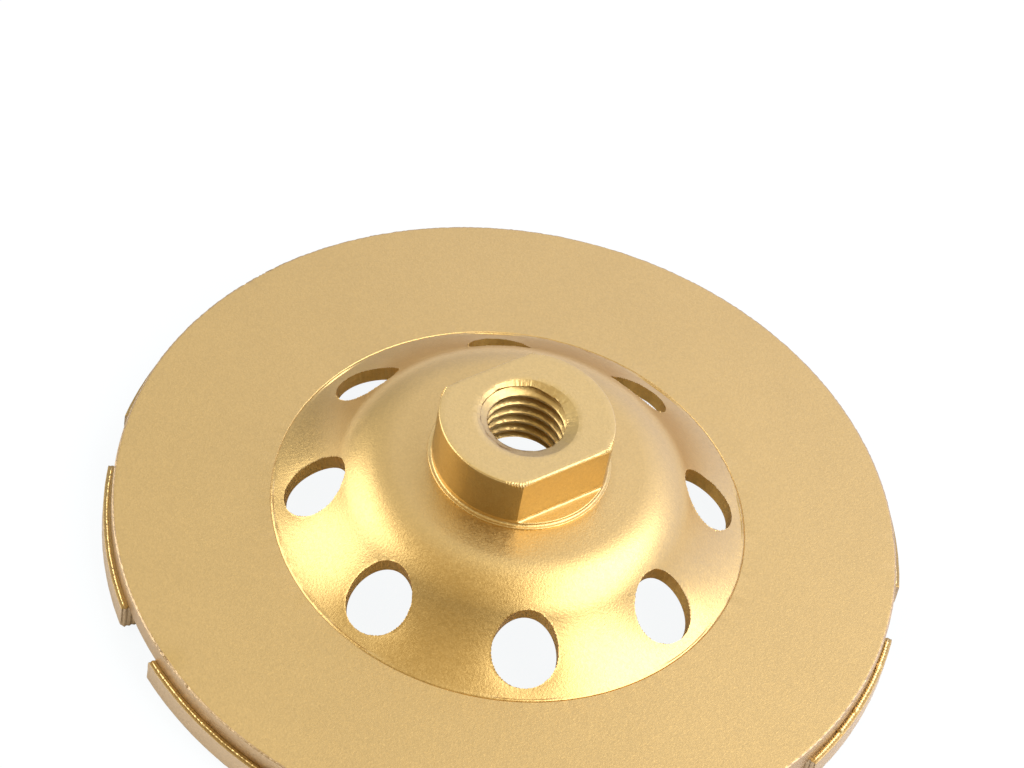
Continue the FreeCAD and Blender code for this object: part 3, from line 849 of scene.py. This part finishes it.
# ---------------------------------------------------------------- stage

def softbox(name, azimuth, elevation, distance, width, height, roll, power, target):
    """A rectangular soft light that shines at the wheel from a direction in degrees."""
    lamp = bpy.data.lights.new(name, "AREA")
    lamp.shape = "RECTANGLE"
    lamp.size = width
    lamp.size_y = height
    lamp.energy = power
    holder = bpy.data.objects.new(name, lamp)
    a, e = math.radians(azimuth), math.radians(elevation)
    away = Vector((math.cos(e) * math.cos(a), math.cos(e) * math.sin(a), math.sin(e)))
    holder.location = target + away * distance
    turned = away.to_track_quat("Z", "Y") @ Quaternion((0, 0, 1), math.radians(roll))
    holder.rotation_euler = turned.to_euler()
    bpy.context.scene.collection.objects.link(holder)


def floor_material(colour, share, mirrored_share):
    """Matt white studio board: even and pale, with a soft shadow under the wheel.

    The shares say how much of its own white a camera ray and a mirrored ray see.
    """
    material, tree, shader, place = new_material("matt_white_board")
    fibre = add_node(tree, "ShaderNodeTexNoise",
                     {"Vector": place, "Scale": per_mm(60), "Detail": 2.0})
    tone = add_node(tree, "ShaderNodeMapRange",
                    {"Value": fibre.outputs["Fac"], "To Min": 0.98, "To Max": 1.0})
    tinted = add_node(tree, "ShaderNodeHueSaturation",
                      {"Color": (*colour, 1.0), "Value": tone.outputs[0]})
    tree.links.new(tinted.outputs["Color"], shader.inputs["Base Color"])
    shader.inputs["Roughness"].default_value = 0.9
    shader.inputs["Specular IOR Level"].default_value = 0.1
    path = add_node(tree, "ShaderNodeLightPath")
    through = add_node(tree, "ShaderNodeMath",
                       {0: path.outputs["Is Camera Ray"], 1: path.outputs["Is Transmission Ray"]},
                       operation="MAXIMUM")
    seen = add_node(tree, "ShaderNodeMath", {0: through.outputs[0], 1: share},
                    operation="MULTIPLY")
    # a painted shadow: in a disc under the wheel the board's glow is cut down, so that the board
    # stays dark in the metal's reflections
    from_axis = add_node(tree, "ShaderNodeVectorMath", {0: place}, operation="LENGTH")
    glow_round_painted_shadow = add_node(tree, "ShaderNodeMapRange",
                          {"Value": from_axis.outputs["Value"], "From Min": 0.058,
                           "From Max": 0.068, "To Min": 0.05, "To Max": mirrored_share})
    mirrored = add_node(tree, "ShaderNodeMath",
                        {0: path.outputs["Is Glossy Ray"], 1: glow_round_painted_shadow.outputs[0]},
                        operation="MULTIPLY")
    part = add_node(tree, "ShaderNodeMath", {0: seen.outputs[0], 1: mirrored.outputs[0]},
                    operation="MAXIMUM")
    glow = add_node(tree, "ShaderNodeEmission",
                    {"Color": (*hex_to_linear("#FCFEFF"), 1.0), "Strength": 1.0})
    mix = add_node(tree, "ShaderNodeMixShader",
                   {0: part.outputs[0], 1: shader.outputs[0], 2: glow.outputs[0]})
    tree.links.new(mix.outputs[0], tree.nodes["Material Output"].inputs["Surface"])
    return material


def build_stage(sizes):
    """Camera, floor, world and soft lights."""
    scene = bpy.context.scene
    camera = bpy.data.cameras.new("photo_camera")
    camera.lens = CAMERA_LENS
    camera.sensor_width = 36.0
    camera.clip_start = 0.01
    holder = bpy.data.objects.new("photo_camera", camera)
    holder.location = CAMERA_PLACE
    holder.rotation_euler = Euler([math.radians(a) for a in CAMERA_TURN])
    scene.collection.objects.link(holder)
    scene.camera = holder

    floor_mesh = bpy.data.meshes.new("studio_floor")
    corners = [(x * FLOOR_HALF, y * FLOOR_HALF, 0)
               for x, y in ((-1, -1), (1, -1), (1, 1), (-1, 1))]
    floor_mesh.from_pydata(corners, [], [(0, 1, 2, 3)])
    floor_mesh.materials.append(floor_material(sizes.floor_colour, share=0.93,
                                               mirrored_share=0.3))
    floor = bpy.data.objects.new("studio_floor", floor_mesh)
    floor.location = (0, 0, -FLOOR_DROP)
    scene.collection.objects.link(floor)

    target = Vector((0, 0, 0.012))
    softbox("left_softbox", azimuth=135, elevation=26, distance=0.9, width=0.74, height=0.70,
            roll=0, power=sizes.left_power, target=target)
    softbox("right_softbox", azimuth=-57, elevation=48, distance=1.1, width=1.50, height=0.86,
            roll=32, power=sizes.right_power, target=target)

    # the room is bright overhead, warm and dim on the camera's side, and has cool daylight
    # from the far right
    world = bpy.data.worlds.new("studio_room")
    world.use_nodes = True
    tree = world.node_tree
    room = tree.nodes["Background"]
    direction = add_node(tree, "ShaderNodeTexCoord").outputs["Generated"]
    height = add_node(tree, "ShaderNodeSeparateXYZ", {"Vector": direction})
    raised = add_node(tree, "ShaderNodeValToRGB", {"Fac": height.outputs["Z"]})
    set_ramp(raised, ROOM_LEVELS)
    level = add_node(tree, "ShaderNodeMath", {0: raised.outputs[0], 1: sizes.room_level},
                     operation="MULTIPLY")
    dim_side = Vector(around(math.cos(DIM_ELEVATION), DIM_AZIMUTH, math.sin(DIM_ELEVATION)))
    facing = add_node(tree, "ShaderNodeVectorMath", {0: direction, 1: dim_side},
                      operation="DOT_PRODUCT")
    dimmed = add_node(tree, "ShaderNodeMapRange",
                      {"Value": facing.outputs["Value"], "From Min": 0.60, "From Max": 0.87})
    tint = add_node(tree, "ShaderNodeValToRGB", {"Fac": dimmed.outputs[0]})
    warm = [c * sizes.dim_share for c in sizes.dim_colour]
    set_ramp(tint, [(0.0, hex_to_linear("#FBFAF7")), (1.0, warm)])
    tree.links.new(tint.outputs[0], room.inputs["Color"])
    tree.links.new(level.outputs[0], room.inputs["Strength"])
    window = Vector(around(1.0, WINDOW_AZIMUTH, 0.0))
    towards = add_node(tree, "ShaderNodeVectorMath", {0: direction, 1: window},
                       operation="DOT_PRODUCT")
    lit = add_node(tree, "ShaderNodeMapRange",
                   {"Value": towards.outputs["Value"], "From Min": 0.25, "From Max": 0.95,
                    "To Max": sizes.daylight})
    daylight = add_node(tree, "ShaderNodeBackground",
                        {"Color": (*hex_to_linear("#B6C1FF"), 1.0), "Strength": lit.outputs[0]})
    both = add_node(tree, "ShaderNodeAddShader", {0: room.outputs[0], 1: daylight.outputs[0]})
    tree.links.new(both.outputs[0], tree.nodes["World Output"].inputs["Surface"])
    scene.world = world
    scene.view_settings.view_transform = "Standard"


# ---------------------------------------------------------------- add-on

def length(name, description, default):
    """A property for a length in metres."""
    return bpy.props.FloatProperty(name=name, description=description, default=default,
                                   min=0.0, subtype="DISTANCE", unit="LENGTH")


def colour(name, description, code):
    """A property for a colour, whose default is an sRGB hex code."""
    return bpy.props.FloatVectorProperty(name=name, description=description, subtype="COLOR",
                                         default=hex_to_linear(code), min=0.0, max=1.0)


class CupWheelBody(bpy.types.PropertyGroup):
    """Sizes and colours of the steel body."""
    hole_roll: length("Hole roll-over", "Dip of the dome at a punched dust hole", 0.00036)
    hole_burr: length("Hole burr", "Height of the burr around a dust hole", 0.00017)
    facing_step: length("Facing step", "Depth of the step round the dome's foot", 0.00015)
    rim_rounding: length("Rim rounding", "Rounding of the rim's upper edge", 0.0003)
    rim_knock: length("Rim knocks", "Depth of the knocks in the rim's edge", 0.00035)
    body_colour: colour("Lacquer", "Colour of the gold lacquer", "#CDAC6B")
    # the hole walls' colour is the lacquer made lighter and more saturated: painted light
    hole_wall_painted_light_colour: colour("Hole walls", "Colour of the coat in the dust holes", "#E3B760")
    # the rim's colour is partly its thin coat and partly a painted reflection of the pale floor
    rim_coat_and_floor_reflection_colour: colour("Rim lacquer", "Colour of the thin coat on the rim", "#B79C76")


class CupWheelHub(bpy.types.PropertyGroup):
    """Sizes and colours of the spindle hub."""
    hub_edge: length("Edge rounding", "Rounding of the hub's upper edge", 0.00025)
    torn_edge: length("Torn edge", "Unevenness of the edges beside the flats", 0.00010)
    hub_colour: colour("Lacquer", "Colour of the gold lacquer", "#D2B373")
    # the side's colour is the hub's lacquer darkened: painted shade
    side_shade_colour: colour("Side", "Colour of the thinner coat on the side", "#A98E53")
    # the thread's colour is the hub's lacquer darkened: painted shade in the bore
    thread_shade_colour: colour("Thread", "Colour of the coat in the thread", "#C6A86A")


class CupWheelSegments(bpy.types.PropertyGroup):
    """Sizes and colours of the segments and their braze."""
    segment_blunt: length("Blunt edges", "Rounding of a segment's edges", 0.0002)
    segment_wear: length("Worn edge", "Wear of a segment's lower outer edge", 0.0008)
    braze_size: length("Braze width", "Width of the bead of braze", 0.00034)
    # the segments' colour is partly their thin overspray and partly a painted reflection of the
    # pale floor
    segment_coat_and_reflection_colour: colour("Overspray", "Colour of the coat on the bond", "#BDA583")
    # the ledge's colour is the lacquer darkened: painted shade beside the rim's wall
    ledge_shade_colour: colour("Ledge", "Colour of the lacquer on the ledge", "#A58850")
    # the braze's colour is the lacquer lightened: a painted highlight
    braze_highlight_colour: colour("Braze", "Colour of the lacquered braze", "#E2C684")


class CupWheelStage(bpy.types.PropertyGroup):
    """Floor and light."""
    floor_colour: colour("Floor", "Colour of the studio floor", "#F7F9FB")
    left_power: bpy.props.FloatProperty(name="Left light", description="Left softbox",
                                        default=5.1, min=0.0, subtype="POWER", unit="POWER")
    right_power: bpy.props.FloatProperty(name="Right light", description="Right softbox",
                                         default=15.2, min=0.0, subtype="POWER", unit="POWER")
    room_level: bpy.props.FloatProperty(name="Room light", description="Even light of the room",
                                        default=1.2, min=0.0)
    dim_share: bpy.props.FloatProperty(name="Dim side", default=0.71, min=0.0, max=1.0,
                                       description="Light left on the camera's side",
                                       subtype="FACTOR")
    dim_colour: colour("Dim side's colour", "Colour of the dim side of the room", "#FFE9B8")
    daylight: bpy.props.FloatProperty(name="Daylight", description="Light of the window",
                                      default=1.35, min=0.0)


class CUPWHEEL_OT_stage(bpy.types.Operator):
    """Adds the camera, the pale floor and the soft lights"""
    bl_idname = "cupwheel.stage"
    bl_label = "Set the stage"

    def execute(self, context):
        build_stage(context.scene.cup_wheel_stage)
        return {"FINISHED"}


class CUPWHEEL_OT_body(bpy.types.Operator):
    """Builds the lacquered steel body with its dust holes"""
    bl_idname = "cupwheel.body"
    bl_label = "Build the cup body"

    def execute(self, context):
        build_cup_body(context.scene.cup_wheel_body)
        return {"FINISHED"}


class CUPWHEEL_OT_hub(bpy.types.Operator):
    """Builds the hub with its flats and its thread"""
    bl_idname = "cupwheel.hub"
    bl_label = "Build the spindle hub"

    def execute(self, context):
        build_spindle_hub(context.scene.cup_wheel_hub)
        return {"FINISHED"}


class CUPWHEEL_OT_segments(bpy.types.Operator):
    """Builds the ten diamond segments"""
    bl_idname = "cupwheel.segments"
    bl_label = "Build the segments"

    def execute(self, context):
        build_segments(context.scene.cup_wheel_segments)
        return {"FINISHED"}


class CUPWHEEL_OT_braze(bpy.types.Operator):
    """Builds the braze along the segments"""
    bl_idname = "cupwheel.braze"
    bl_label = "Build the braze"

    def execute(self, context):
        build_braze(context.scene.cup_wheel_segments)
        return {"FINISHED"}


class CUPWHEEL_PT_panel(bpy.types.Panel):
    """Lists the steps that build the cup wheel"""
    bl_idname = "CUPWHEEL_PT_panel"
    bl_label = "Cup Wheel"
    bl_space_type = "VIEW_3D"
    bl_region_type = "UI"
    bl_category = "Cup Wheel"

    def draw(self, context):
        layout = self.layout
        for group in GROUPS:
            settings = getattr(context.scene, group)
            box = layout.box()
            for name in settings.__annotations__:
                box.prop(settings, name)
        for operator in OPERATORS:
            layout.operator(operator.bl_idname)


GROUPS = {
    "cup_wheel_body": CupWheelBody,
    "cup_wheel_hub": CupWheelHub,
    "cup_wheel_segments": CupWheelSegments,
    "cup_wheel_stage": CupWheelStage,
}
OPERATORS = (CUPWHEEL_OT_stage, CUPWHEEL_OT_body, CUPWHEEL_OT_hub, CUPWHEEL_OT_segments,
             CUPWHEEL_OT_braze)


def register():
    for name, group in GROUPS.items():
        bpy.utils.register_class(group)
        setattr(bpy.types.Scene, name, bpy.props.PointerProperty(type=group))
    for operator in OPERATORS:
        bpy.utils.register_class(operator)
    bpy.utils.register_class(CUPWHEEL_PT_panel)


def unregister():
    bpy.utils.unregister_class(CUPWHEEL_PT_panel)
    for operator in reversed(OPERATORS):
        bpy.utils.unregister_class(operator)
    for name, group in reversed(GROUPS.items()):
        delattr(bpy.types.Scene, name)
        bpy.utils.unregister_class(group)


def main():
    """Builds every piece."""
    register()
    bpy.ops.cupwheel.stage()
    bpy.ops.cupwheel.body()
    bpy.ops.cupwheel.hub()
    bpy.ops.cupwheel.segments()
    bpy.ops.cupwheel.braze()


if __name__ == "__main__":
    main()
